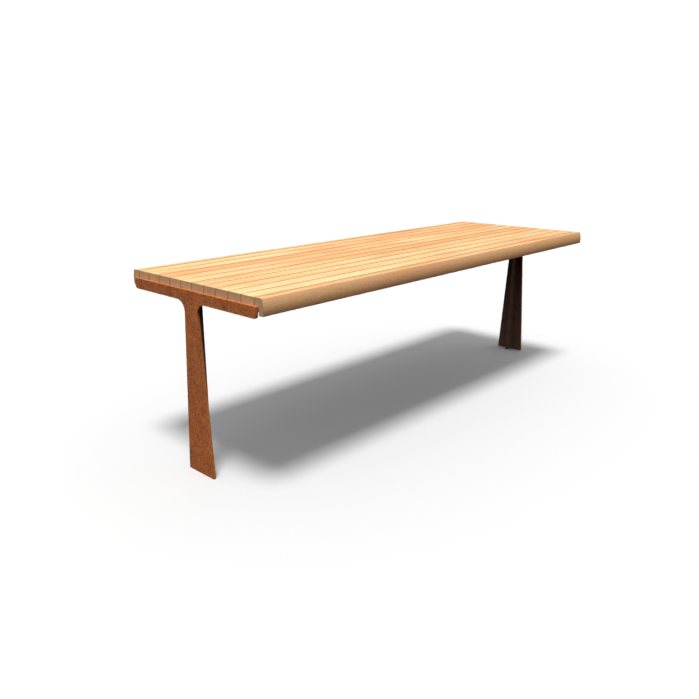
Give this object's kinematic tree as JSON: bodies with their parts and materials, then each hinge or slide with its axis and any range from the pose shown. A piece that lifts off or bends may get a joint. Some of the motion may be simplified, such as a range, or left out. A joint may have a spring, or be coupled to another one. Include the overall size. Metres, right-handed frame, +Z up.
{
  "type": "backless bench",
  "caption": "Backless street bench with a slatted timber seat, rounded front and rear edge slats, on two T-shaped weathering steel legs.",
  "frame": {"origin": "on the ground under the middle of the seat", "axes": "+X along the bench to its right-hand end, -Y is the front, +Z up"},
  "size_m": [1.4, 0.479, 0.455],
  "materials": {
    "timber": "oiled softwood, satin",
    "weathering_steel": "rusted weathering steel, matt",
    "weld_metal": "rusted weld bead, matt",
    "stainless_fastener": "stainless steel, satin"
  },
  "bodies": {
    "root": {"edge_slat_front": "timber", "edge_slat_rear": "timber", "seat_slat_1": "timber", "seat_slat_2": "timber", "seat_slat_3": "timber", "seat_slat_4": "timber", "seat_slat_5": "timber", "seat_slat_6": "timber", "seat_slat_7": "timber", "seat_slat_8": "timber", "seat_slat_9": "timber", "seat_slat_10": "timber", "leg_plate_left": "weathering_steel", "leg_plate_right": "weathering_steel", "leg_rib_left": "weathering_steel", "leg_rib_right": "weathering_steel", "end_bearer_left": "weathering_steel", "end_bearer_right": "weathering_steel", "rail_lugs_left": "weathering_steel", "rail_lugs_right": "weathering_steel", "rail_front": "weathering_steel", "rail_rear": "weathering_steel", "cross_tie_1": "weathering_steel", "cross_tie_2": "weathering_steel", "cross_tie_3": "weathering_steel", "leg_welds_left": "weld_metal", "leg_welds_right": "weld_metal", "tie_welds": "weld_metal", "rail_bolts": "stainless_fastener", "rail_bolt_washers": "stainless_fastener", "rail_bolt_nuts": "stainless_fastener", "slat_screws_left_bearer": "stainless_fastener", "slat_screws_right_bearer": "stainless_fastener", "slat_screws_tie_1": "stainless_fastener", "slat_screws_tie_2": "stainless_fastener", "slat_screws_tie_3": "stainless_fastener"}
  },
  "joints": []
}
